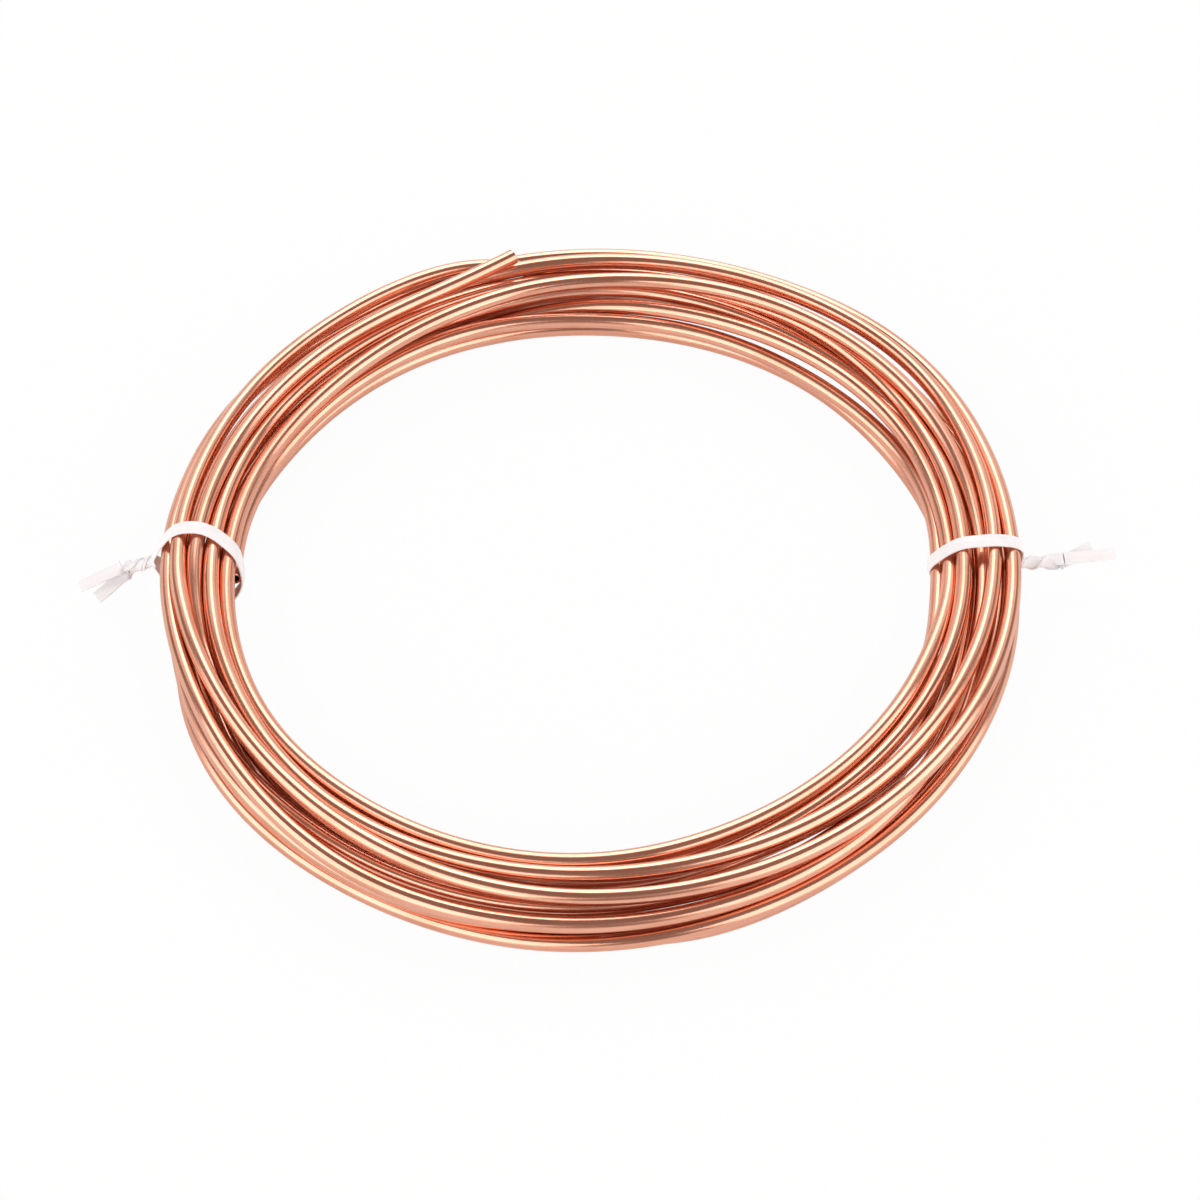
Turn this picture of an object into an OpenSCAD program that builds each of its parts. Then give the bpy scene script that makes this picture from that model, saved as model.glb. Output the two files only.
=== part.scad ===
// Coil of small copper tube, lying flat, held by two twist ties
// Millimetres, +Z up, the coil's axis on Z and the floor at z = 0

/* [Tube] */
// Outside diameter of the tube
tube_d = 3; // [2:0.1:5]
// Wall thickness of the tube
tube_wall = 0.5; // [0.3:0.05:0.8]

/* [Coil] */
// Mean diameter of the wound ring, through the middle of the bundle
ring_d = 142; // [110:1:200]
// Turns side by side in the widest layer
wide_turns = 4; // [3:1:6]
// Gap between turns side by side in one layer
turn_gap = 0.6; // [0.3:0.1:1]
// Gap between one layer and the next
layer_gap = 0.4; // [0.2:0.1:0.8]

/* [Outer end] */
// Direction from the coil's axis where the free end leaves the top layer
leave_angle = 118; // [100:1:140]
// Straight length of the free end
end_length = 22; // [15:1:40]
// Slope of the free end above the level
end_rise = 4; // [0:0.5:10]
// Depth of the bore that is opened in the free end
end_bore_depth = 20; // [10:1:20]

/* [Inner end] */
// Length of the innermost turn that shows past the left tie
inner_end_past_tie = 7; // [4:0.5:12]
// Gap between the innermost turn's cut end and the turn that follows it
inner_end_gap = 8; // [4:0.5:16]
// Depth of the bore that is opened in the inner end
inner_bore_depth = 6; // [3:0.5:12]

/* [Ties] */
// Width of a tie's strip
tie_w = 2.5; // [2:0.1:4]
// Thickness of a tie's strip
tie_t = 0.6; // [0.4:0.05:1]
// Clearance between a tie's loop and the turns inside it
tie_clear = 0.1; // [0.05:0.05:0.4]
// Length of the twisted neck
neck_length = 5; // [3:0.5:10]
// Half turns in the twisted neck
neck_half_turns = 3; // [1:2:7]
// How far each tie's long tail stands out past its loop, along X
tail_reach = 17.5; // [12:0.5:40]
// Length of each tie's short tail
short_tail = 10; // [6:0.5:16]

/* [Left tie] */
// Direction of the left tie from the coil's axis, anticlockwise from +X
left_angle = 176.5; // [165:0.5:190]
// Direction and slope of the left tie's long tail
left_long_angle = 196; // [180:1:210]
left_long_slope = -10; // [-14:1:10]
// Direction and slope of the left tie's short tail
left_short_angle = 222; // [200:1:235]
left_short_slope = -20; // [-22:1:10]

/* [Right tie] */
// Direction of the right tie from the coil's axis, anticlockwise from +X
right_angle = 2.5; // [-10:0.5:15]
// Direction and slope of the right tie's long tail
right_long_angle = 3; // [-15:1:15]
right_long_slope = 4; // [-10:1:15]
// Direction and slope of the right tie's short tail
right_short_angle = 20; // [8:1:40]
right_short_slope = 12; // [-10:1:25]

/* [Hidden] */
$fn = 96;
copper_colour = [0.80, 0.44, 0.31];
tie_colour = [0.95, 0.95, 0.95];
join = 0.3;

ring_r = ring_d / 2;
bore_d = tube_d - 2 * tube_wall;
pitch = tube_d + turn_gap;
layer_pitch = tube_d + layer_gap;
base_z = tie_t + tie_clear;

// Turns in each layer from the floor up. The last place in the top layer is the free end's.
layers = [wide_turns - 1, wide_turns, wide_turns - 1, wide_turns - 2];
top = len(layers) - 1;
free_place = layers[top] - 1;

// Place i of a layer in the ring's section, with x from the ring's mean radius
function place(layer, i) =
    [(i - (layers[layer] - 1) / 2) * pitch, base_z + tube_d / 2 + layer * layer_pitch];
function last(layer) = place(layer, layers[layer] - 1);

free_r = ring_r + place(top, free_place)[0];
free_z = place(top, free_place)[1];
inner_r = ring_r + place(1, 0)[0];
inner_angle = left_angle + arc_angle(inner_end_past_tie, inner_r);

// The convex outline of all the places, anticlockwise from the inner end of the bottom layer
bundle = [place(0, 0), last(0), last(1), last(top), place(top, 0), place(1, 0)];
core = [place(0, 0), last(0), last(1), last(2), place(2, 0), place(1, 0)];

loop_r = tube_d / 2 + tie_clear;
root_x = ring_r + last(1)[0] + loop_r + tie_t;
root_z = last(1)[1];
tie_reach = root_x + tail_reach;

function arc_angle(length, radius) = length / radius * 180 / PI;

// One turn's section in the top layer, with a web down to the two turns it lies on
module top_turn(i) {
    p = place(top, i);
    translate(p) circle(d = tube_d);
    polygon([p, [p[0] - pitch / 2, p[1] - layer_pitch], [p[0] + pitch / 2, p[1] - layer_pitch]]);
}

// Section of the bundle: the outer half of each turn shows, and the middle is filled
module bundle_section() {
    for (layer = [0:top - 1], i = [0:layers[layer] - 1])
        translate(place(layer, i)) circle(d = tube_d);
    for (i = [0:1:free_place - 1]) top_turn(i);
    polygon(core);
}

// A sector of the ring, turned from one direction to another
module sector(from, to) {
    rotate([0, 0, from]) rotate_extrude(angle = to - from) translate([ring_r, 0]) children();
}

// Along the free end's axis, from where it leaves the ring
module along_free_end() {
    rotate([0, 0, leave_angle]) translate([free_r, 0, free_z])
        rotate([0, 0, -90]) rotate([0, 90 - end_rise, 0]) children();
}

// Wound tube with its free outer end and its cut inner end
module coil() {
    inner_gap_angle = arc_angle(inner_end_gap, inner_r);
    inner_bore_angle = arc_angle(inner_bore_depth, inner_r);
    color(copper_colour) difference() {
        union() {
            rotate_extrude() translate([ring_r, 0]) bundle_section();
            sector(leave_angle, left_angle) top_turn(free_place);
            along_free_end() sphere(d = tube_d);
            along_free_end() cylinder(d = tube_d, h = end_length);
        }
        along_free_end() translate([0, 0, end_length - end_bore_depth])
            cylinder(d = bore_d, h = end_bore_depth + 1);
        sector(inner_angle, inner_angle + inner_gap_angle)
            translate(place(1, 0)) circle(d = tube_d + turn_gap / 2);
        sector(inner_angle - inner_bore_angle, inner_angle + inner_gap_angle / 2)
            translate(place(1, 0)) circle(d = bore_d);
    }
}

// The bundle's outline, grown outwards by a distance, with round corners
module around_bundle(grow) {
    n = len(bundle);
    edge = [for (i = [0:n - 1]) bundle[(i + 1) % n] - bundle[i]];
    out = [for (e = edge) [e[1], -e[0]] / norm(e) * grow];
    polygon([for (i = [0:n - 1]) each [bundle[i] + out[i], bundle[(i + 1) % n] + out[i]]]);
    for (p = bundle) translate(p) circle(r = grow);
}

// One flat tail of a strip, from the end of the neck
module tail(length, direction, slope) {
    rotate([0, 0, direction]) rotate([0, -slope, 0])
        translate([-tie_w / 2, -tie_w / 2, -tie_t / 2]) cube([length + tie_w / 2, tie_w, tie_t]);
}

// A twist tie: a loop round the bundle, a twisted neck and two tails
module twist_tie(angle, long_angle, long_slope, short_angle, short_slope) {
    neck_x = root_x + neck_length;
    side_reach = tie_w / 2 * abs(sin(long_angle));
    long_tail = (tie_reach - neck_x * abs(cos(angle)) - side_reach) / abs(cos(long_angle)) / cos(long_slope);
    color(tie_colour) {
        rotate([0, 0, angle]) {
            translate([ring_r, 0, 0]) rotate([90, 0, 0]) linear_extrude(tie_w, center = true)
                difference() {
                    around_bundle(loop_r + tie_t);
                    around_bundle(loop_r);
                }
            translate([root_x - join, 0, root_z]) rotate([0, 90, 0])
                linear_extrude(neck_length + join, twist = 180 * neck_half_turns,
                               slices = 10 * neck_half_turns, segments = 8)
                    square([2 * tie_t, tie_w], center = true);
        }
        translate([neck_x * cos(angle), neck_x * sin(angle), root_z]) {
            tail(long_tail, long_angle, long_slope);
            tail(short_tail, short_angle, short_slope);
        }
    }
}

module left_tie() {
    twist_tie(left_angle, left_long_angle, left_long_slope, left_short_angle, left_short_slope);
}

module right_tie() {
    twist_tie(right_angle, right_long_angle, right_long_slope, right_short_angle, right_short_slope);
}

coil();
left_tie();
right_tie();
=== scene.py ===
"""Looks of a coil of small copper tube: one wound tube with two cut ends, held by two twist ties.

The tube's middle line is a springy line through way-points that were read turn by turn. Where two
turns would pass through each other, or through the floor, they push each other apart until they only touch.
The tube's and the ties' sizes are in millimetres. The meshes, lamps, floor and camera are in metres, in the
frame of the CAD model.
"""

import logging
import math
from dataclasses import dataclass, field
from enum import Enum

import bpy
import numpy as np
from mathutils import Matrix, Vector

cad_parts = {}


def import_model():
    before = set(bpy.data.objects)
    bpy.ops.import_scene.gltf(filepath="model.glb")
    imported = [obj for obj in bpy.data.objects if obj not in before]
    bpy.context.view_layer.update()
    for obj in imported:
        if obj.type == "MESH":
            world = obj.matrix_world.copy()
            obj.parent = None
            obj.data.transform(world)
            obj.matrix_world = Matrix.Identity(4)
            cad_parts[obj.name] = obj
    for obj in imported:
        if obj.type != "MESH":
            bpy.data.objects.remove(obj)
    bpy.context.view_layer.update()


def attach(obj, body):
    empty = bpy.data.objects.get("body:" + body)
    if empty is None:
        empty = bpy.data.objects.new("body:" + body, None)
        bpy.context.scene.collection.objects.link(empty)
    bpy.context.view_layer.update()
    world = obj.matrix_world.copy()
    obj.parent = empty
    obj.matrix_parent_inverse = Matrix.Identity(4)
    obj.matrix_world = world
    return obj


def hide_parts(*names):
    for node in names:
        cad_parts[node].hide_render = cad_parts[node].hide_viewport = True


log = logging.getLogger("copper_tube_coil")

MM = 0.001
TINY = 1e-9
SINE_DIGITS = 9
BODY = "root"
TUBE_ATTRIBUTE = "tube_place"
STRIP_ATTRIBUTE = "strip_place"
WHITE = (1.0, 1.0, 1.0)
SIDEWAYS = np.array([0.0, 1.0, 0.0])
UPWARD = np.array([0.0, 0.0, 1.0])

# A bell-shaped mean ends this many widths from its middle
BELL_REACH = 3

# A place, in millimetres, so far out that nothing there touches the coil
FAR_OUT = 1000.0

# A last way-point past the last station counts as this part of a station before it
JUST_BEFORE = 0.001

# The colour sockets of a Mix node go by number, because sockets of other kinds have the same names
MIX_COLOUR_A = 6
MIX_COLOUR_B = 7
MIX_COLOUR_RESULT = 2

Colour = tuple[float, float, float]
Span = tuple[float, float]
Feed = float | tuple[float, ...] | bpy.types.NodeSocket
WayPoint = tuple[float, float, float]

# One tuple per turn, from the inner end to the free end, clockwise as seen from above. Each way-point is
# the direction from the coil's axis in degrees, the distance out from the ring's mean line, and the height.
TURNS: tuple[tuple[WayPoint, ...], ...] = (
    (
        (183, -6.5, 6.5), (170, -6, 6.25), (150, -6.75, 6.5), (130, -7, 6.75), (110, -7, 6.75),
        (90, -7.25, 5.75), (70, -6.5, 5.25), (50, -6.25, 5), (40, -5.75, 5), (30, -5, 5),
        (14, -4.75, 5.25), (5, -6, 5.25), (357, -7, 5.5), (345, -7, 5.75), (320, -8.25, 6),
        (305, -8.75, 5.75), (290, -8.25, 5), (270, -6.75, 3.5), (240, -5, 2.25), (210, -4, 2.5),
        (190, -3.75, 3.25),
    ),
    (
        (177, -4, 3.25), (150, -6, 3.5), (130, -6.25, 3.75), (110, -6, 3.5), (90, -6, 2.5),
        (70, -5.25, 1.75), (50, -4.75, 1.75), (30, -5, 2), (10, -4.25, 2.25), (357, -4, 2.5),
        (330, -3.5, 3.25), (300, -1.25, 4.75), (270, 1.25, 6.75), (255, 1.75, 6.75), (240, 2.25, 6.75),
        (225, 2.75, 6.75), (215, 3.5, 6.75), (197, 3.25, 7),
    ),
    (
        (177, 2, 7.5), (150, 3, 7), (120, 3.25, 8), (100, 4, 9.5), (80, 5, 10.25), (60, 6, 10.75),
        (48, 6.75, 10.75), (38, 7, 10.5), (25, 5.75, 10.25), (12, 4.25, 10), (1, 2.75, 10),
        (350, 1.5, 10), (330, -0.5, 10.5), (310, -1.5, 11), (290, -2.75, 10.75), (270, -3.25, 10.25),
        (250, -3, 9.5), (230, -2.5, 8.5), (210, -2.25, 8.5), (190, -1.75, 9.5),
    ),
    (
        (177, -2, 10.25), (160, -2, 10.25), (140, -2, 10), (120, -1.25, 9.5), (105, 1.25, 8),
        (85, 4.25, 6.75), (60, 4.25, 7), (40, 4, 7.25), (20, 3.25, 7), (1, 3.75, 7), (350, 3.5, 6.5),
        (340, 2.75, 5.25), (330, 2.25, 4), (315, 2, 4.25), (285, 2.25, 4.75), (270, 3, 4.5),
        (262, 3.75, 4.75), (245, 5, 4.5), (225, 4.75, 4.5), (205, 4.5, 4.75), (190, 3.5, 5),
    ),
    (
        (177, 4.25, 5.5), (165, 4.25, 4.5), (150, 3.75, 3.5), (125, 4, 2.5), (112, 5.25, 3.25),
        (103, 5.75, 3.75), (92, 4.5, 2.25), (60, 4.25, 1.5), (30, 4.25, 1.5), (1, 3.5, 2.25),
        (345, 4, 1.5), (325, 4, 1.5), (300, 4, 1.5), (283, 4.75, 1.5), (270, 3.25, 1.5),
        (250, 1.75, 1.5), (222, 2, 2.5), (195, -0.25, 5.25),
    ),
    (
        (177, -1.75, 6.25), (150, -2.75, 6), (120, -3, 6.5), (104, -2.75, 7.75), (90, -1.5, 8.5),
        (70, -1, 8.25), (50, 0, 7), (30, 1.25, 6), (14, 0.25, 6.25), (1, -1.75, 6.5), (345, -2, 5.5),
        (330, -1.25, 4.25), (315, -2.75, 3.75), (300, -4.5, 4.5), (285, -4.5, 4), (270, -2.75, 3),
        (240, -1.5, 3.5), (210, -1.5, 2.75), (195, -1, 2.5), (185, -0.5, 3),
    ),
    (
        (165, -1.25, 2.5), (135, -3.25, 1.75), (110, -4, 3.25), (90, -4.25, 6.25), (70, -5, 8.25),
        (50, -4.25, 9), (30, -3.5, 9), (20, -3.5, 8.5), (8, -4.25, 7.5), (357, -5, 7.25),
        (345, -6.75, 8.5), (330, -7.75, 9.25), (310, -8.25, 9.5), (290, -7.75, 9.5), (270, -6.75, 9),
        (250, -6.5, 8.25), (230, -6.25, 7.5), (210, -5, 7.5), (190, -5, 8.75),
    ),
    (
        (177, -5.5, 9.25), (160, -6, 9.5), (140, -6.75, 10.25), (120, -6, 11.25), (110, -5.25, 11.75),
        (100, -3.75, 12), (90, -2.75, 12), (70, -0.5, 12), (50, 1, 11.5), (40, 1.25, 11),
        (30, 1.75, 10.5), (8, 1.5, 8), (357, 1, 7.25), (340, 0.5, 7.25), (330, 1.75, 7), (320, 2.5, 7),
        (300, 3.75, 7.25), (280, 4.5, 7.5), (260, 5.5, 8), (240, 6.25, 8.75), (220, 5, 9.75),
        (200, 4, 10), (190, 4.25, 9.5),
    ),
    (
        (177, 5.25, 9), (165, 6, 7.5), (150, 7.5, 6.25), (140, 7.75, 5.5), (125, 7.25, 5.25),
        (110, 8.25, 5.75), (100, 8.75, 6.5), (90, 8.5, 7.25), (80, 8.75, 7.5), (60, 9.5, 7.75),
        (48, 10.25, 8), (38, 10.25, 8), (20, 8, 8.75), (6, 6.5, 9.5), (357, 6, 9.5), (340, 4.75, 10),
        (320, 3.25, 10.5), (300, 2.25, 10.5), (280, 1.5, 10.5), (260, 1.25, 10.5), (240, 0.75, 10.75),
        (220, 0.25, 11), (205, 0.5, 11), (195, 1.25, 11.25), (185, 2.25, 11),
    ),
    (
        (177, 3, 11), (165, 3.5, 11), (155, 4.25, 10.75), (145, 5.25, 10.25), (130, 6.25, 9.75),
        (115, 7.5, 9.25), (108, 8.25, 9), (102, 7, 8), (95, 5.75, 5.75), (88, 6.25, 4.25),
        (76, 7, 4.25), (64, 7.5, 4.75), (54, 7.25, 3.5), (46, 7.25, 3), (10, 6.25, 5),
        (357, 5.75, 5.25), (340, 5.5, 5), (315, 5.25, 4.75), (290, 5.5, 4.5), (278, 5.75, 4),
        (265, 5.5, 3), (245, 5, 1.5), (230, 5.5, 1.5), (210, 5.75, 1.75), (200, 5, 1.75),
        (190, 3.25, 2),
    ),
    (
        (177, 3, 2.5), (150, 0.75, 2.5), (130, 0, 3), (110, -0.75, 3.25), (98, -1, 4), (88, 0, 5.5),
        (75, 1.25, 7), (60, 1.75, 8.5), (50, 1.25, 9), (40, 0.5, 9.25), (30, -0.5, 9.25),
        (20, -1.5, 9.25), (8, -2.75, 9.5), (357, -3.25, 9.25), (340, -4.25, 8.75), (320, -5.25, 8.25),
        (300, -5.5, 7.5), (285, -4.75, 6.75), (270, -4.5, 6), (240, -4.5, 5.5), (220, -3.25, 5.75),
        (200, -1, 8), (190, -0.25, 9.5), (184, 0.25, 11),
    ),
    (
        (170, -0.25, 11.75), (150, -0.75, 12), (130, -0.75, 12.25),
    ),
)


class Side(Enum):
    """The two ties, by the direction from the coil's axis in degrees."""

    LEFT = 176.5
    RIGHT = 2.5


def unit(v: np.ndarray) -> np.ndarray:
    """Each row of v at length one."""
    return v / np.linalg.norm(v, axis=-1, keepdims=True)


def resample(values: np.ndarray, at: np.ndarray) -> np.ndarray:
    """Reads rows of an array between its steps, on a Catmull-Rom curve through them.

    Args:
        values: The rows, one per whole step.
        at: Places to read, in steps.

    Returns:
        One row for each place.
    """
    last = len(values) - 1
    k = np.clip(np.floor(at).astype(int), 0, last - 1)
    f = (at - k)[:, None]
    a, b, c, d = (values[np.clip(k + i, 0, last)] for i in (-1, 0, 1, 2))
    return b + 0.5 * f * (c - a + f * (2 * a - 5 * b + 4 * c - d + f * (3 * (b - c) + d - a)))


def arc_length(line: np.ndarray) -> np.ndarray:
    """The length along a line of points, from its first point to each."""
    return np.concatenate([[0.0], np.cumsum(np.linalg.norm(np.diff(line, axis=0), axis=1))])


def evenly(line: np.ndarray, step: float) -> np.ndarray:
    """A line's rows again at even lengths along its first three columns.

    Args:
        line: Points with any further columns.
        step: The length from each new row to the next, to within a rounding.

    Returns:
        The new rows.
    """
    along = arc_length(line[:, :3])
    at = np.linspace(0.0, along[-1], max(2, round(along[-1] / step) + 1))
    return np.stack([np.interp(at, along, column) for column in line.T], axis=1)


def soften(rows: np.ndarray, width: float) -> np.ndarray:
    """Rounds the corners of a line with a bell-shaped mean over its rows, its two ends held.

    A row at distance d counts with exp(-(d / width)^2 / 2). Past each end the line goes on as its own image,
    turned half round that end.

    Args:
        rows: The line's rows at even steps.
        width: The bell's width in rows.

    Returns:
        The rounded rows.
    """
    reach = math.ceil(BELL_REACH * width)
    bell = np.exp(-0.5 * (np.arange(-reach, reach + 1) / width) ** 2)
    bell /= bell.sum()
    before = 2 * rows[0] - rows[reach:0:-1]
    after = 2 * rows[-1] - rows[-2 : -reach - 2 : -1]
    long = np.concatenate([before, rows, after])
    return np.stack([np.convolve(column, bell, mode="valid") for column in long.T], axis=1)


def carry(
    middle: np.ndarray,
    across: np.ndarray,
    upward: np.ndarray,
    x: np.ndarray,
    y: np.ndarray,
) -> np.ndarray:
    """Carries a section along a line.

    Point (i, j) is m + x a + y u, with m the line's point i, a and u the section's two directions there, and
    x and y the section's point j. The line's own two ends follow, to close the surface.

    Args:
        middle: The line's points.
        across: The section's first direction at each of them.
        upward: The section's second direction at each of them.
        x: Places along the first direction: one row for the whole line, or a row for each of its points.
        y: Places along the second direction, in the same way.

    Returns:
        The points, row by row, and then the two ends.
    """
    grid = middle[:, None] + x[..., None] * across[:, None] + y[..., None] * upward[:, None]
    return np.concatenate([grid.reshape(-1, 3), middle[[0, -1]]])


def own_places(x: np.ndarray, y: np.ndarray, along: np.ndarray) -> np.ndarray:
    """Where each point of a carried section lies on its own piece, in the order that carry gives.

    Args:
        x: The section's places along its first direction.
        y: Its places along its second direction.
        along: The length along the piece at each of its rows.

    Returns:
        Rows of x, y and the length along.
    """
    grid = np.stack(np.broadcast_arrays(x, y, along[:, None]), axis=-1)
    ends = np.array([[0.0, 0.0, along[0]], [0.0, 0.0, along[-1]]])
    return np.concatenate([grid.reshape(-1, 3), ends])


def capped_grid(rows: int, columns: int) -> tuple[np.ndarray, np.ndarray]:
    """Faces of a tube-shaped grid whose two ends close in one point each.

    The grid's points come first, row by row, then the first end's point and the last end's. The faces point
    outwards where the rings run clockwise, seen along the grid.

    Args:
        rows: Rings along the grid.
        columns: Points round each ring.

    Returns:
        The quads and the triangles, as rows of point numbers.
    """
    ring = np.arange(columns)
    after = np.roll(ring, -1)
    start = np.arange(rows - 1)[:, None] * columns
    quads = np.stack([start + ring, start + after, start + columns + after, start + columns + ring], axis=-1)
    first = np.stack([np.full(columns, rows * columns), after, ring], axis=-1)
    tail = (rows - 1) * columns
    last = np.stack([np.full(columns, rows * columns + 1), tail + ring, tail + after], axis=-1)
    return quads.reshape(-1, 4), np.concatenate([first, last])


def make_piece(
    name: str,
    points: np.ndarray,
    quads: np.ndarray,
    triangles: np.ndarray,
    material: bpy.types.Material,
    crease: float = 30.0,
) -> bpy.types.Object:
    """Puts arrays into a smooth-shaded mesh object at the origin.

    Args:
        name: The piece's name.
        points: Points in metres.
        quads: Rows of four point numbers, outward side anticlockwise.
        triangles: Rows of three point numbers.
        material: The finish of the whole piece.
        crease: Edges that bend by more than this many degrees stay sharp.

    Returns:
        The new object.
    """
    mesh = bpy.data.meshes.new(name)
    corners = np.concatenate([quads.ravel(), triangles.ravel()])
    sizes = np.concatenate([np.full(len(quads), 4), np.full(len(triangles), 3)])
    mesh.vertices.add(len(points))
    mesh.vertices.foreach_set("co", points.astype(np.float32).ravel())
    mesh.loops.add(len(corners))
    mesh.loops.foreach_set("vertex_index", corners.astype(np.int32))
    mesh.polygons.add(len(sizes))
    mesh.polygons.foreach_set("loop_start", np.concatenate([[0], np.cumsum(sizes)[:-1]]).astype(np.int32))
    mesh.update(calc_edges=True)
    mesh.validate()
    mesh.polygons.foreach_set("use_smooth", np.ones(len(sizes), dtype=bool))
    mesh.set_sharp_from_angle(angle=math.radians(crease))
    mesh.materials.append(material)
    piece = bpy.data.objects.new(name, mesh)
    bpy.context.scene.collection.objects.link(piece)
    return piece


def give_attribute(piece: bpy.types.Object, name: str, vectors: np.ndarray) -> None:
    """Stores one vector per point for the materials to read.

    Args:
        piece: A mesh object.
        name: The attribute's name.
        vectors: One row of three numbers for each point.
    """
    layer = piece.data.attributes.new(name, "FLOAT_VECTOR", "POINT")
    layer.data.foreach_set("vector", vectors.astype(np.float32).ravel())


class NodeSheet:
    """Shorthand for adding nodes to a tree and joining their sockets."""

    def __init__(self, tree: bpy.types.NodeTree) -> None:
        """Empties the tree and keeps it."""
        self.tree = tree
        tree.nodes.clear()

    @classmethod
    def of(cls, owner: bpy.types.Material | bpy.types.World) -> "NodeSheet":
        """The emptied sheet of a material or a world."""
        owner.use_nodes = True
        return cls(owner.node_tree)

    def add(
        self, kind: str, inputs: dict[str | int, Feed] | None = None, **settings: object
    ) -> bpy.types.Node:
        """Adds a node.

        Args:
            kind: The node's type.
            inputs: Values or output sockets for its inputs, by name or number.
            **settings: The node's own properties.

        Returns:
            The node.
        """
        node = self.tree.nodes.new(kind)
        for key, value in settings.items():
            setattr(node, key, value)
        for key, value in (inputs or {}).items():
            if isinstance(value, bpy.types.NodeSocket):
                self.tree.links.new(value, node.inputs[key])
            else:
                node.inputs[key].default_value = value
        return node

    def math(self, operation: str, *values: Feed) -> bpy.types.NodeSocket:
        """A Math node's result, for numbers or sockets."""
        return self.add("ShaderNodeMath", dict(enumerate(values)), operation=operation).outputs[0]

    def remap(self, value: bpy.types.NodeSocket, span: Span, to: Span = (0.0, 1.0)) -> bpy.types.NodeSocket:
        """A value within one span, carried smoothly over to another."""
        inputs = {"Value": value, "From Min": span[0], "From Max": span[1], "To Min": to[0], "To Max": to[1]}
        return self.add("ShaderNodeMapRange", inputs, interpolation_type="SMOOTHSTEP").outputs["Result"]

    def mix(self, factor: bpy.types.NodeSocket, a: Feed, b: Feed) -> bpy.types.NodeSocket:
        """The colour between a and b."""
        inputs = {"Factor": factor, MIX_COLOUR_A: a, MIX_COLOUR_B: b}
        return self.add("ShaderNodeMix", inputs, data_type="RGBA").outputs[MIX_COLOUR_RESULT]

    def noise(self, place: Feed, scale: Feed, detail: float, roughness: float) -> bpy.types.NodeSocket:
        """The value of a noise at a place."""
        inputs = {"Vector": place, "Scale": scale, "Detail": detail, "Roughness": roughness}
        return self.add("ShaderNodeTexNoise", inputs).outputs["Fac"]


@dataclass(frozen=True)
class HandlingMarks:
    """The effect of handling that the finishes share: long drawn lines and broad cloudy marks.

    Lines is a fine noise stretched along the third axis of the place. Marks is a broad soft noise.
    """

    stretch: float = 0.012
    line_detail: float = 4.0
    line_roughness: float = 0.6
    mark_detail: float = 5.0
    mark_roughness: float = 0.55

    def group(self) -> bpy.types.NodeTree:
        """Builds the effect, once for all finishes.

        Returns:
            The node group, with inputs Place, Line Scale and Mark Scale and outputs Lines and Marks.
        """
        tree = bpy.data.node_groups.new("handling", "ShaderNodeTree")
        sheet = NodeSheet(tree)
        tree.interface.new_socket("Place", in_out="INPUT", socket_type="NodeSocketVector")
        for name in ("Line Scale", "Mark Scale"):
            tree.interface.new_socket(name, in_out="INPUT", socket_type="NodeSocketFloat")
        for name in ("Lines", "Marks"):
            tree.interface.new_socket(name, in_out="OUTPUT", socket_type="NodeSocketFloat")
        given = sheet.add("NodeGroupInput").outputs
        scale = (1.0, 1.0, self.stretch)
        drawn = sheet.add("ShaderNodeMapping", {"Vector": given["Place"], "Scale": scale}).outputs["Vector"]
        lines = sheet.noise(drawn, given["Line Scale"], self.line_detail, self.line_roughness)
        marks = sheet.noise(given["Place"], given["Mark Scale"], self.mark_detail, self.mark_roughness)
        sheet.add("NodeGroupOutput", {"Lines": lines, "Marks": marks})
        return tree


@dataclass(frozen=True)
class HandledFinish:
    """A surface with fine lines along its piece, and marks of handling in which its colour changes.

    Attributes:
        attribute: The attribute that says where each point lies on its own piece.
        clean: The colour between the marks.
        handled: The colour in the marks.
        metallic: 1 for metal, 0 for anything else.
        smooth: The roughness where the lines' noise is low.
        rough: The roughness where it is high.
        mark_span: The marks go from none to full while their noise goes through this span.
        bump: How strongly the lines bend the light.
        line_span: The roughness goes from smooth to rough while the lines' noise goes through this span.
        line_depth: The depth of the lines in metres.
    """

    name: str
    attribute: str
    clean: Colour
    handled: Colour
    metallic: float
    smooth: float
    rough: float
    line_scale: float
    mark_scale: float
    mark_span: Span
    bump: float
    line_span: Span = (0.3, 0.7)
    line_depth: float = 0.00002

    def wear(self, sheet: NodeSheet, effect: bpy.types.Node) -> bpy.types.NodeSocket:
        """The mask of the handled places: the cloudy marks."""
        return sheet.remap(effect.outputs["Marks"], self.mark_span)

    def material(self, handling: bpy.types.NodeTree) -> bpy.types.Material:
        """Builds the finish.

        Args:
            handling: The shared group of lines and marks.

        Returns:
            The material.
        """
        material = bpy.data.materials.new(self.name)
        sheet = NodeSheet.of(material)
        place = sheet.add("ShaderNodeAttribute", attribute_name=self.attribute).outputs["Vector"]
        inputs = {"Place": place, "Line Scale": self.line_scale, "Mark Scale": self.mark_scale}
        effect = sheet.add("ShaderNodeGroup", inputs, node_tree=handling)
        lines = effect.outputs["Lines"]
        colour = sheet.mix(self.wear(sheet, effect), (*self.clean, 1.0), (*self.handled, 1.0))
        roughness = sheet.remap(lines, self.line_span, (self.smooth, self.rough))
        relief = {"Strength": self.bump, "Distance": self.line_depth, "Height": lines}
        surface = sheet.add(
            "ShaderNodeBsdfPrincipled",
            {
                "Base Color": colour,
                "Metallic": self.metallic,
                "Roughness": roughness,
                "Normal": sheet.add("ShaderNodeBump", relief).outputs["Normal"],
            },
        )
        sheet.add("ShaderNodeOutputMaterial", {"Surface": surface.outputs["BSDF"]})
        return material


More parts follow.
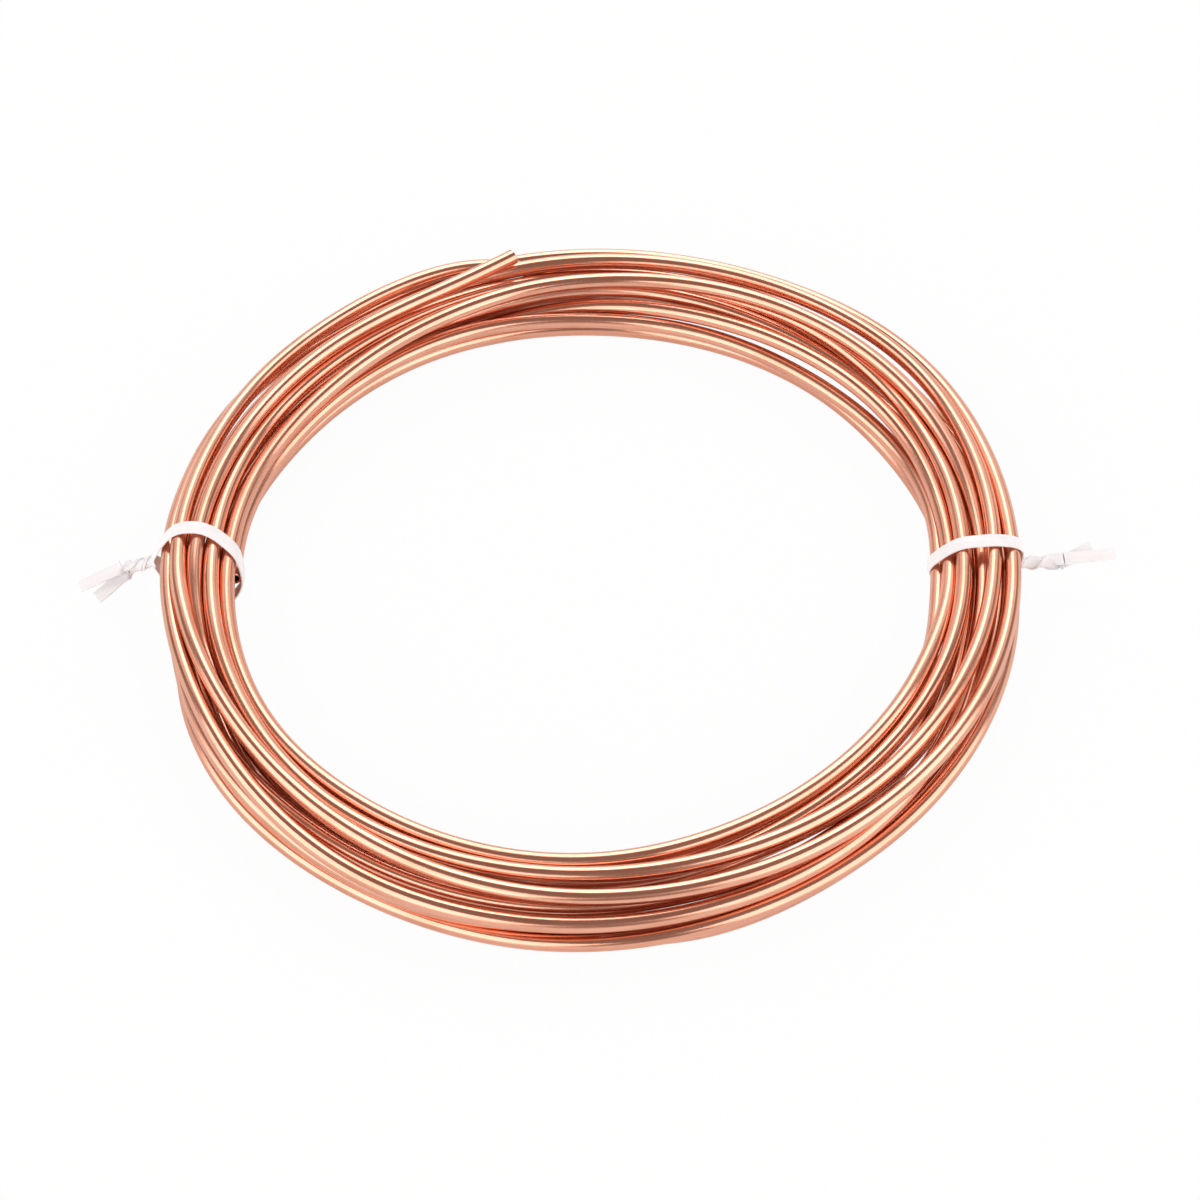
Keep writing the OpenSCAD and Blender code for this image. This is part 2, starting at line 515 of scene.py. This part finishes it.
@dataclass(frozen=True)
class CopperFinish(HandledFinish):
    """Bright drawn copper with fine lines along the tube and faint cloudy tarnish.

    Attributes:
        streak_span: The lines tarnish from none to full while their noise goes through this span.
    """

    name: str = "bright_copper"
    attribute: str = TUBE_ATTRIBUTE
    clean: Colour = (0.86, 0.45, 0.32)
    handled: Colour = (0.77, 0.37, 0.25)
    metallic: float = 1.0
    smooth: float = 0.15
    rough: float = 0.28
    line_scale: float = 1900.0
    mark_scale: float = 60.0
    mark_span: Span = (0.4, 0.7)
    bump: float = 0.8
    streak_span: Span = (0.45, 0.7)

    def wear(self, sheet: NodeSheet, effect: bpy.types.Node) -> bpy.types.NodeSocket:
        """The mask of the tarnish: the cloudy marks or the lines, whichever is stronger."""
        streaks = sheet.remap(effect.outputs["Lines"], self.streak_span)
        return sheet.math("MAXIMUM", super().wear(sheet, effect), streaks)


@dataclass(frozen=True)
class TiePlasticFinish(HandledFinish):
    """Smooth white plastic, a little greyer where it was handled."""

    name: str = "tie_plastic"
    attribute: str = STRIP_ATTRIBUTE
    clean: Colour = (0.92, 0.925, 0.94)
    handled: Colour = (0.87, 0.875, 0.895)
    metallic: float = 0.0
    smooth: float = 0.32
    rough: float = 0.5
    line_scale: float = 1800.0
    mark_scale: float = 220.0
    mark_span: Span = (0.42, 0.72)
    bump: float = 0.4


@dataclass(frozen=True)
class Settling:
    """How turns that would share a place move apart.

    Attributes:
        touch: The room that the pushing tries to leave between two turns.
        push: The share of a push that a turn follows in one round.
        ease: How stiffly the moves spread along the tube.
        spread_every: The rounds from one spreading of the moves to the next.
        late: The share of the rounds after which the second values of keep and spread hold.
        keep: The share of its move that a turn keeps from round to round.
        spread: How far each spreading goes.
    """

    rounds: int = 400
    touch: float = 0.05
    push: float = 0.9
    ease: float = 8.0
    spread_every: int = 3
    late: float = 0.6
    keep: Span = (0.985, 0.998)
    spread: Span = (0.9, 0.25)


@dataclass
class TubeRoute:
    """The middle line of the wound tube, in polar stations round the coil's axis.

    Attributes:
        station: Degrees from one station to the next.
        start_angle: The direction of the first station from the coil's axis, in degrees.
        inner_cut: Degrees from the first station to the cut of the inner end.
        free_start: Where the free end leaves the bundle.
        free_tip: The middle of the free end's cut.
        free_spare: How far its way-points go, in lengths of the free end.
        strip_room: How far a tie's strip under the bundle lifts the tube off the floor.
        strip_spread: The degrees over which that lift fades.
        spring: The cost of bending, set against that of missing a way-point.
        turn_angle: The degrees wound so far at each station.
        stations: The distance out from the mean line and the height at each station.
    """

    ring_r: float = 71.0
    tube_d: float = 3.0
    station: float = 3.0
    start_angle: float = 183.0
    inner_cut: float = 2.0
    free_start: tuple[float, float, float] = (-34.0, 61.9, 12.4)
    free_tip: tuple[float, float, float] = (-14.4, 73.4, 13.25)
    free_points: int = 6
    free_spare: float = 1.25
    strip_room: float = 1.2
    strip_spread: float = 14.0
    spring: float = 2.0
    settling: Settling = Settling()
    turn_angle: np.ndarray = field(init=False)
    stations: np.ndarray = field(init=False)

    def __post_init__(self) -> None:
        """Works out the stations and settles the turns on them."""
        points = self.way_points()
        count = int(points[-1, 0] / self.station) + 1
        self.turn_angle = np.arange(count) * self.station
        bending = self.bending(count)
        self.stations = self.settle(self.springy_line(points, bending), bending)

    def way_points(self) -> np.ndarray:
        """The way-points as rows of angle wound so far, distance out and height.

        The free end's points lie on a straight line from where it leaves the bundle to just past its tip.

        Returns:
            The rows, in order along the tube.
        """
        rows = [
            (360.0 * turn + (self.start_angle - angle) % 360.0, out, up)
            for turn, points in enumerate(TURNS)
            for angle, out, up in points
        ]
        share = np.linspace(0.0, self.free_spare, self.free_points)[:, None]
        line = np.array(self.free_start) * (1 - share) + np.array(self.free_tip) * share
        wound = 360.0 * (len(TURNS) - 1) + self.start_angle - np.degrees(np.arctan2(line[:, 1], line[:, 0]))
        out = np.hypot(line[:, 0], line[:, 1]) - self.ring_r
        return np.concatenate([np.array(rows), np.stack([wound, out, line[:, 2]], axis=1)])

    @property
    def first_place(self) -> float:
        """Where the inner end is cut, in stations along the tube."""
        return self.inner_cut / self.station

    @property
    def tip_place(self) -> float:
        """Where the free end is cut, in stations along the tube."""
        direction = math.degrees(math.atan2(self.free_tip[1], self.free_tip[0]))
        return (360.0 * (len(TURNS) - 1) + self.start_angle - direction) / self.station

    @staticmethod
    def bending(count: int) -> np.ndarray:
        """The matrix of the bending cost: the sum of the squared second differences."""
        second = np.eye(count - 2, count) - 2 * np.eye(count - 2, count, 1) + np.eye(count - 2, count, 2)
        return second.T @ second

    def springy_line(self, points: np.ndarray, bending: np.ndarray) -> np.ndarray:
        """The line that stays near the way-points and bends least.

        It has the least sum of squared misses at the way-points plus spring times the bending cost.

        Args:
            points: The way-points.
            bending: The matrix of the bending cost.

        Returns:
            Distance out and height at each station.
        """
        count = len(self.turn_angle)
        at = np.clip(points[:, 0] / self.station, 0, count - 1 - JUST_BEFORE)
        k = at.astype(int)
        pick = np.zeros((len(points), count))
        row = np.arange(len(points))
        pick[row, k] = 1 - (at - k)
        pick[row, k + 1] = at - k
        return np.linalg.solve(pick.T @ pick + self.spring * bending, pick.T @ points[:, 1:])

    def floor_height(self) -> np.ndarray:
        """The lowest that the tube's middle can lie, on the floor or on a tie's strip.

        A strip lifts the tube by its room times exp(-(d / spread)^2), d degrees away from the tie.

        Returns:
            The height at each station.
        """
        direction = self.start_angle - self.turn_angle
        lift = np.zeros_like(direction)
        for side in Side:
            off = (direction - side.value + 180.0) % 360.0 - 180.0
            lift = np.maximum(lift, np.exp(-((off / self.strip_spread) ** 2)))
        return self.tube_d / 2 + self.strip_room * lift

    def settle(self, line: np.ndarray, bending: np.ndarray) -> np.ndarray:
        """Moves turns that would share a place apart until they touch.

        In each round, two turns at one station that are nearer than a diameter push each other away, each by
        half of what is missing, the floor pushes up, and every few rounds the moves are spread along the tube
        as a stiff tube would spread them.

        Args:
            line: Distance out and height at each station.
            bending: The matrix of the bending cost.

        Returns:
            The settled line.
        """
        rule = self.settling
        count = len(line)
        per_turn = int(360 / self.station)
        turns = math.ceil(count / per_turn)
        places = np.full((turns * per_turn, 2), FAR_OUT)
        spread = np.linalg.inv(np.eye(count) + rule.ease * bending)
        floor = self.floor_height()
        own = np.arange(turns)
        moved = np.zeros_like(line)
        for step in range(rule.rounds):
            late = int(step > rule.late * rule.rounds)
            places[:count] = line + moved
            here = places.reshape(turns, per_turn, 2).transpose(1, 0, 2)
            gap = here[:, :, None] - here[:, None]
            distance = np.linalg.norm(gap, axis=-1) + TINY
            over = np.clip(self.tube_d + rule.touch - distance, 0, None)
            over[:, own, own] = 0
            apart = 0.5 * (gap * (over / distance)[..., None]).sum(axis=2)
            push = apart.transpose(1, 0, 2).reshape(-1, 2)[:count]
            push[:, 1] += np.clip(floor - places[:count, 1], 0, None)
            moved = moved * rule.keep[late] + rule.push * push
            if step % rule.spread_every == 0:
                moved += rule.spread[late] * (spread @ moved - moved)
        log.info("turns settled, largest overlap left %.3f mm", over.max() - rule.touch)
        return line + moved

    def at(self, place: np.ndarray) -> np.ndarray:
        """Points of the middle line: x = r cos a, y = r sin a, z = height, with r the radius at angle a.

        Args:
            place: Places along the tube in stations.

        Returns:
            The points in millimetres.
        """
        out, up = resample(self.stations, place).T
        angle = np.radians(self.start_angle - self.station * place)
        radius = self.ring_r + out
        return np.stack([radius * np.cos(angle), radius * np.sin(angle), up], axis=1)

    def section(self, direction: float) -> np.ndarray:
        """A cut through the bundle.

        Args:
            direction: The cut's direction from the coil's axis in degrees.

        Returns:
            Distance out and height of every turn there.
        """
        first = (self.start_angle - direction) % 360.0
        wound = np.arange(first, self.tip_place * self.station, 360.0)
        return resample(self.stations, wound / self.station)


@dataclass
class CopperCoil:
    """The wound tube with its walls and its two open ends.

    Attributes:
        edge: How far the rims of the cuts are rounded.
        shoulder: How far from each cut the plain tube starts, outside and in the bore.
        inner_bore: How deep the inner end is open.
        outer_bore: How deep the free end is open.
        step: The length from ring to ring on the outside, in diameters.
        length_steps: Places for each station at which the tube's length is measured.
        slope_reach: Stations before and after a ring between which its direction is taken.
    """

    route: TubeRoute
    wall: float = 0.5
    edge: float = 0.12
    shoulder: float = 0.48
    inner_bore: float = 10.0
    outer_bore: float = 20.0
    bore_rings: int = 6
    step: float = 0.42
    round_points: int = 20
    length_steps: int = 8
    slope_reach: float = 0.2
    crease: float = 40.0

    def rings(self, length: float) -> tuple[np.ndarray, np.ndarray]:
        """Place along the tube and radius of each ring of the surface.

        The rings go up the inner end's bore, over its rim, along the outside and back into the other bore.

        Args:
            length: The tube's length.

        Returns:
            The places in millimetres and the radii.
        """
        outer = self.route.tube_d / 2
        bore = outer - self.wall
        edge = self.edge
        rim = np.array([[edge, bore], [0.0, bore + edge], [0.0, outer - edge], [edge, outer]])
        count = int(length / (self.step * self.route.tube_d))
        outside = np.linspace(self.shoulder, length - self.shoulder, count)
        near = np.linspace(self.inner_bore, self.shoulder, self.bore_rings)
        far = np.linspace(self.outer_bore, self.shoulder, self.bore_rings)
        inside = np.full(self.bore_rings, bore)
        place = [near, rim[:, 0], outside, length - rim[::-1, 0], length - far[::-1]]
        radius = [inside, rim[:, 1], np.full(count, outer), rim[::-1, 1], inside]
        return np.concatenate(place), np.concatenate(radius)

    def build(self, material: bpy.types.Material) -> bpy.types.Object:
        """Carries a circle along the middle line.

        The circle's points are x = r cos t to the level side and y = r sin t square to that and to the line,
        with r the ring's radius and t the angle round it, which starts at the bottom.

        Args:
            material: The tube's finish.

        Returns:
            The coil.
        """
        route = self.route
        fine = np.linspace(route.first_place, route.tip_place, self.length_steps * len(route.stations))
        along = arc_length(route.at(fine))
        place, radius = self.rings(along[-1])
        station = np.interp(place, along, fine)
        middle = route.at(station)
        forward = unit(route.at(station + self.slope_reach) - route.at(station - self.slope_reach))
        side = unit(np.cross(forward, UPWARD))
        turn = np.linspace(0, 2 * np.pi, self.round_points, endpoint=False) - np.pi / 2
        x = radius[:, None] * np.cos(turn)
        y = radius[:, None] * np.sin(turn)
        points = carry(middle, side, np.cross(side, forward), x, y) * MM
        quads, triangles = capped_grid(len(place), self.round_points)
        # Seen along the tube the circle runs anticlockwise, so the faces are turned to point outwards
        coil = make_piece("copper_coil", points, quads[:, ::-1], triangles[:, ::-1], material, self.crease)
        give_attribute(coil, TUBE_ATTRIBUTE, own_places(x, y, place) * MM)
        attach(coil, BODY)
        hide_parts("coil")
        log.info("copper_coil: %.2f m of tube, %d faces", along[-1] * MM, len(coil.data.polygons))
        return coil


@dataclass(frozen=True)
class Tail:
    """One loose end of a tie's strip: its length, and its heading and slope in degrees."""

    length: float
    heading: float
    slope: float


@dataclass
class TwistTie:
    """A flat strip with a wire in its middle, looped round the bundle and twisted together.

    Its lines are worked out in the tie's own frame, with x out from the coil's axis, y sideways and z up.

    Attributes:
        root_out: The distance of the neck's root out from the ring's mean line.
        root_up: The height of the neck's root.
        skew: How far the loop lies aside, how much more so outwards, and how much more so at the top.
        thickness: The strip's thickness beside the wire.
        edge_power: How round its edges are, from 0 for square ones to 1 for an ellipse.
        rib: How far the wire swells each of its faces.
        rib_width: The width of that swelling.
        slack: The room between the loop and the bundle.
        apart: How far each of the neck's two strips lies from its axis.
        leave: The share of a tail's length by which it first follows the neck.
        arrive: The share of a tail's length by which it ends in its own direction.
        flat_after: The share of a tail after which its width lies level.
        cuts: How many cuts through the bundle the loop clears.
        directions: How many directions the loop's outline is looked for in.
        step: The length from ring to ring along the strip.
        soft_rows: The width, in rings, of the mean that rounds the whole strip's corners.
        loop_soft_rows: The width of the mean that rounds the loop's corners before that.
    """

    route: TubeRoute
    side: Side
    tails: tuple[Tail, Tail]
    root_out: float = 8.3
    root_up: float = 5.8
    skew: tuple[float, float, float] = (0.0, 0.0, 0.0)
    width: float = 2.75
    thickness: float = 0.4
    edge_power: float = 0.3
    rib: float = 0.12
    rib_width: float = 0.35
    slack: float = 0.22
    neck_length: float = 6.0
    neck_slope: float = 0.0
    half_turns: int = 2
    apart: float = 0.75
    leave: float = 0.3
    arrive: float = 0.45
    flat_after: float = 0.4
    cuts: int = 5
    directions: int = 721
    curve_points: int = 60
    step: float = 0.2
    soft_rows: float = 2.2
    loop_soft_rows: float = 6.0
    round_points: int = 24
    crease: float = 50.0

    @property
    def name(self) -> str:
        """The name of the CAD node that the tie stands for."""
        return f"{self.side.name.lower()}_tie"

    @property
    def neck_axis(self) -> np.ndarray:
        """The neck's direction in the tie's own frame."""
        slope = math.radians(self.neck_slope)
        return np.array([math.cos(slope), 0.0, math.sin(slope)])

    @property
    def axes(self) -> np.ndarray:
        """The axes of the tie's own frame, as rows in the coil's frame."""
        angle = math.radians(self.side.value)
        radial = np.array([math.cos(angle), math.sin(angle), 0.0])
        return np.stack([radial, np.cross(UPWARD, radial), UPWARD])

    def loop(self) -> np.ndarray:
        """The strip's middle line round the bundle.

        It is the outline of the bundle grown by a tube's radius, a little slack and half the strip: for each
        direction n the point p + r n, with p the turn that reaches furthest along n. The neck's root counts
        as a very small turn, so the outline runs straight up to it from both sides. The strip slips aside by
        skew0 + skew1 cos t + skew2 sin t, with t the angle round the middle of the loop.

        Returns:
            The points, from the root over the top and back under the bundle.
        """
        aside, outer, upper = self.skew
        reach = self.width / 2 + abs(outer) + abs(upper)
        cuts = np.degrees(np.linspace(aside - reach, aside + reach, self.cuts) / self.route.ring_r)
        turns = np.concatenate([self.route.section(self.side.value + cut) for cut in cuts])
        grow = self.route.tube_d / 2 + self.slack + self.thickness / 2 + self.rib
        centres = np.concatenate([turns, [[self.root_out, self.root_up]]])
        sizes = np.concatenate([np.full(len(turns), grow), [self.apart]])
        angle = np.linspace(0, 2 * np.pi, self.directions)
        normal = np.stack([np.cos(angle), np.sin(angle)], axis=1)
        furthest = np.argmax(normal @ centres.T + sizes, axis=1)
        out, up = (centres[furthest] + sizes[furthest, None] * normal).T
        outline = np.stack([self.route.ring_r + out, np.zeros_like(out), up], axis=1)[furthest != len(turns)]
        outline = soften(evenly(outline, self.step), self.loop_soft_rows)
        from_middle = outline - outline.mean(axis=0)
        around = np.arctan2(from_middle[:, 2], from_middle[:, 0])
        outline[:, 1] = aside + outer * np.cos(around) + upper * np.sin(around)
        return outline

    def neck(self, sign: float) -> np.ndarray:
        """One of the two strips in the twisted neck, from its root outwards.

        At length s the strip lies beside the neck's axis in the direction sin a w + cos a u, and its width
        runs along cos a w - sin a u, with w level, u square to w and to the axis, and a growing evenly by the
        half turns.

        Args:
            sign: 1 for the strip that starts on top, -1 for the other.

        Returns:
            Rows of point and width direction.
        """
        s = np.linspace(0, self.neck_length, self.curve_points)[:, None]
        turn = np.pi * self.half_turns * s / self.neck_length
        above = np.cross(self.neck_axis, SIDEWAYS)
        beside = np.sin(turn) * SIDEWAYS + np.cos(turn) * above
        across = np.cos(turn) * SIDEWAYS - np.sin(turn) * above
        root = np.array([self.route.ring_r + self.root_out, self.skew[0] + self.skew[1], self.root_up])
        return np.concatenate([root + s * self.neck_axis + sign * self.apart * beside, across], axis=1)

    def tail(self, start: np.ndarray, tail: Tail) -> np.ndarray:
        """A tail from the end of the neck: a cubic curve from the neck's direction into the tail's.

        Args:
            start: The last row of the neck's strip.
            tail: The tail's length and direction.

        Returns:
            Rows of point and width direction.
        """
        yaw = math.radians(tail.heading - self.side.value)
        slope = math.radians(tail.slope)
        ahead = np.array([math.cos(yaw) * math.cos(slope), math.sin(yaw) * math.cos(slope), math.sin(slope)])
        level = np.array([math.sin(yaw), -math.cos(yaw), 0.0])
        root = start[:3]
        tip = root + tail.length * ahead
        first = root + self.leave * tail.length * self.neck_axis
        second = tip - self.arrive * tail.length * ahead
        t = np.linspace(0, 1, self.curve_points)[:, None]
        weights = np.concatenate([(1 - t) ** 3, 3 * t * (1 - t) ** 2, 3 * t**2 * (1 - t), t**3], axis=1)
        share = np.clip(t / self.flat_after, 0, 1)
        width = unit(start[3:] * (1 - share) + level * share)
        return np.concatenate([weights @ np.stack([root, first, second, tip]), width], axis=1)[1:]

    def strip_line(self) -> np.ndarray:
        """The whole strip from one tip to the other, at even steps.

        Returns:
            Rows of point and width direction.
        """
        over, under = self.neck(1.0), self.neck(-1.0)
        outline = self.loop()
        loop = np.concatenate([outline, np.tile(SIDEWAYS, (len(outline), 1))], axis=1)
        first = self.tail(over[-1], self.tails[0])
        second = self.tail(under[-1], self.tails[1])
        line = np.concatenate([first[::-1], over[::-1], loop, under, second])
        return soften(evenly(line, self.step), self.soft_rows)

    def section(self) -> tuple[np.ndarray, np.ndarray]:
        """The strip's section: flat, with round edges and a low swelling over its wire.

        Its points are x = w/2 cos t and y = sign(sin t) (h/2 |sin t|^p + b |sin t| exp(-(x/c)^2)), with w the
        width, h the thickness, p the edge power, b the rib and c the rib's width.

        Returns:
            One row of places across the strip, and one of places through it.
        """
        turn = np.linspace(0, 2 * np.pi, self.round_points, endpoint=False)[None]
        # Rounded, so that the two edge points lie exactly in the middle of the thickness
        sine = np.sin(turn).round(SINE_DIGITS)
        x = self.width / 2 * np.cos(turn)
        swell = self.rib * np.exp(-((x / self.rib_width) ** 2)) * np.abs(sine)
        return x, np.sign(sine) * (self.thickness / 2 * np.abs(sine) ** self.edge_power + swell)

    def build(self, material: bpy.types.Material) -> bpy.types.Object:
        """Carries the strip's section along its line.

        Args:
            material: The strip's finish.

        Returns:
            The tie.
        """
        line = self.strip_line()
        middle, width = line[:, :3], line[:, 3:]
        forward = unit(np.gradient(middle, axis=0))
        across = unit(width - (width * forward).sum(axis=1, keepdims=True) * forward)
        x, y = self.section()
        points = (carry(middle, across, np.cross(forward, across), x, y) @ self.axes) * MM
        quads, triangles = capped_grid(len(line), self.round_points)
        tie = make_piece(f"{self.name}_strip", points, quads, triangles, material, self.crease)
        along = arc_length(middle)
        give_attribute(tie, STRIP_ATTRIBUTE, own_places(x, y, along) * MM)
        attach(tie, BODY)
        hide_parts(self.name)
        log.info("%s: %.0f mm of strip, %d faces", tie.name, along[-1], len(tie.data.polygons))
        return tie


@dataclass(frozen=True)
class Lamp:
    """A soft lamp that shines on the coil, from an azimuth that is 0 at the back and 90 on the right."""

    name: str
    azimuth: float
    elevation: float
    distance: float
    size: tuple[float, float]
    brightness: float

    def build(self) -> bpy.types.Object:
        """Adds the lamp. Its power is brightness times pi times its area.

        Returns:
            The lamp's object.
        """
        light = bpy.data.lights.new(self.name, "AREA")
        light.shape = "RECTANGLE"
        light.size, light.size_y = self.size
        light.energy = self.brightness * math.pi * math.prod(self.size)
        lamp = bpy.data.objects.new(self.name, light)
        turn, tilt = math.radians(self.azimuth), math.radians(self.elevation)
        lamp.location = (
            self.distance * math.cos(tilt) * math.sin(turn),
            self.distance * math.cos(tilt) * math.cos(turn),
            self.distance * math.sin(tilt),
        )
        lamp.rotation_euler = (math.pi / 2 - tilt, 0.0, math.pi - turn)
        lamp.visible_camera = False
        bpy.context.scene.collection.objects.link(lamp)
        return lamp


@dataclass
class Studio:
    """A white floor, a dim room with a pale horizon, soft lamps and the camera.

    Attributes:
        floor_glow: The share of plain white in what the camera sees of the floor.
        floor_gleam: The share of plain white in what metal or glass shows of the floor.
        room: The room's colour overhead.
        horizon: The room's colour at the horizon.
        horizon_band: The upward part of the directions in which the one turns into the other.
        shift: The picture's shift to the right and up, in picture widths.
    """

    floor_size: float = 6.0
    floor_colour: Colour = (0.92, 0.92, 0.92)
    floor_glow: float = 0.95
    floor_gleam: float = 0.3
    room: Colour = (0.285, 0.22, 0.2)
    horizon: Colour = WHITE
    horizon_band: Span = (0.05, 0.35)
    camera_distance: float = 0.568
    camera_elevation: float = 51.85
    lens: float = 92.58
    shift: tuple[float, float] = (0.0101, -0.004)
    lamps: tuple[Lamp, ...] = (
        Lamp("back_light", azimuth=0.0, elevation=40.0, distance=1.3, size=(0.56, 1.12), brightness=2.1),
        Lamp("back_wash", azimuth=0.0, elevation=40.0, distance=1.5, size=(2.6, 1.1), brightness=0.75),
        Lamp("left_light", azimuth=-126.0, elevation=30.0, distance=1.3, size=(2.2, 1.08), brightness=1.85),
        Lamp("right_light", azimuth=116.0, elevation=30.0, distance=1.3, size=(1.6, 1.08), brightness=1.85),
    )

    def build(self) -> None:
        """Adds the camera, floor, room and lamps."""
        bpy.context.scene.view_settings.view_transform = "Standard"
        self.build_camera()
        self.build_floor()
        self.build_room()
        for lamp in self.lamps:
            lamp.build()
            log.info("%s added", lamp.name)

    def build_camera(self) -> None:
        """Adds the camera, which looks along +Y and down at the middle of the coil."""
        data = bpy.data.cameras.new("camera")
        data.lens = self.lens
        data.shift_x, data.shift_y = self.shift
        camera = bpy.data.objects.new("camera", data)
        tilt = math.radians(self.camera_elevation)
        camera.location = (0.0, -self.camera_distance * math.cos(tilt), self.camera_distance * math.sin(tilt))
        camera.rotation_euler = (math.pi / 2 - tilt, 0.0, 0.0)
        bpy.context.scene.collection.objects.link(camera)
        bpy.context.scene.camera = camera

    def glow_share(self, sheet: NodeSheet) -> bpy.types.NodeSocket:
        """The share of the floor's glow, for rays from the camera and for rays that metal or glass sends on.

        Args:
            sheet: The floor's nodes.

        Returns:
            The share.
        """
        path = sheet.add("ShaderNodeLightPath").outputs
        sent_on = sheet.math("MAXIMUM", path["Is Glossy Ray"], path["Is Transmission Ray"])
        gleam = sheet.math("MULTIPLY", sent_on, self.floor_gleam)
        return sheet.math("MAXIMUM", gleam, sheet.math("MULTIPLY", path["Is Camera Ray"], self.floor_glow))

    def build_floor(self) -> None:
        """Adds the floor: white paint with a glow, which makes a white background and leaves a shadow."""
        material = bpy.data.materials.new("floor_white")
        sheet = NodeSheet.of(material)
        paint = sheet.add("ShaderNodeBsdfDiffuse", {"Color": (*self.floor_colour, 1.0)})
        glow = sheet.add("ShaderNodeEmission", {"Color": (*WHITE, 1.0), "Strength": 1.0})
        inputs = {0: self.glow_share(sheet), 1: paint.outputs["BSDF"], 2: glow.outputs["Emission"]}
        both = sheet.add("ShaderNodeMixShader", inputs)
        sheet.add("ShaderNodeOutputMaterial", {"Surface": both.outputs["Shader"]})
        half = self.floor_size / 2
        corners = np.array([[-half, -half, 0.0], [half, -half, 0.0], [half, half, 0.0], [-half, half, 0.0]])
        floor = make_piece("floor", corners, np.arange(4)[None], np.empty((0, 3), dtype=int), material)

    def build_room(self) -> None:
        """Adds the room: white for the camera, and otherwise dim overhead and white at the horizon."""
        world = bpy.data.worlds.new("studio")
        bpy.context.scene.world = world
        sheet = NodeSheet.of(world)
        direction = sheet.add("ShaderNodeTexCoord").outputs["Generated"]
        height = sheet.add("ShaderNodeSeparateXYZ", {"Vector": direction}).outputs["Z"]
        low = sheet.remap(height, self.horizon_band, (1.0, 0.0))
        tone = sheet.mix(low, (*self.room, 1.0), (*self.horizon, 1.0))
        path = sheet.add("ShaderNodeLightPath").outputs
        seen = sheet.math("MAXIMUM", path["Is Camera Ray"], path["Is Transmission Ray"])
        colour = sheet.mix(seen, tone, (*WHITE, 1.0))
        sky = sheet.add("ShaderNodeBackground", {"Color": colour, "Strength": 1.0})
        sheet.add("ShaderNodeOutputWorld", {"Surface": sky.outputs["Background"]})


def main() -> None:
    """Loads the frame, builds the studio, the coil and the ties."""
    logging.basicConfig(level=logging.INFO, format="%(message)s")
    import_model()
    Studio().build()
    handling = HandlingMarks().group()
    route = TubeRoute()
    CopperCoil(route).build(CopperFinish().material(handling))
    plastic = TiePlasticFinish().material(handling)
    left_tie = TwistTie(
        route,
        Side.LEFT,
        tails=(Tail(length=10.2, heading=198.0, slope=-15.0), Tail(length=8.8, heading=216.0, slope=-14.0)),
        root_up=6.4,
        skew=(3.1, -1.1, -3.6),
        neck_length=4.6,
        neck_slope=-25.0,
    )
    right_tie = TwistTie(
        route,
        Side.RIGHT,
        tails=(Tail(length=11.5, heading=3.0, slope=4.0), Tail(length=8.0, heading=20.0, slope=12.0)),
        root_up=5.2,
    )
    left_tie.build(plastic)
    right_tie.build(plastic)


if __name__ == "__main__":
    main()
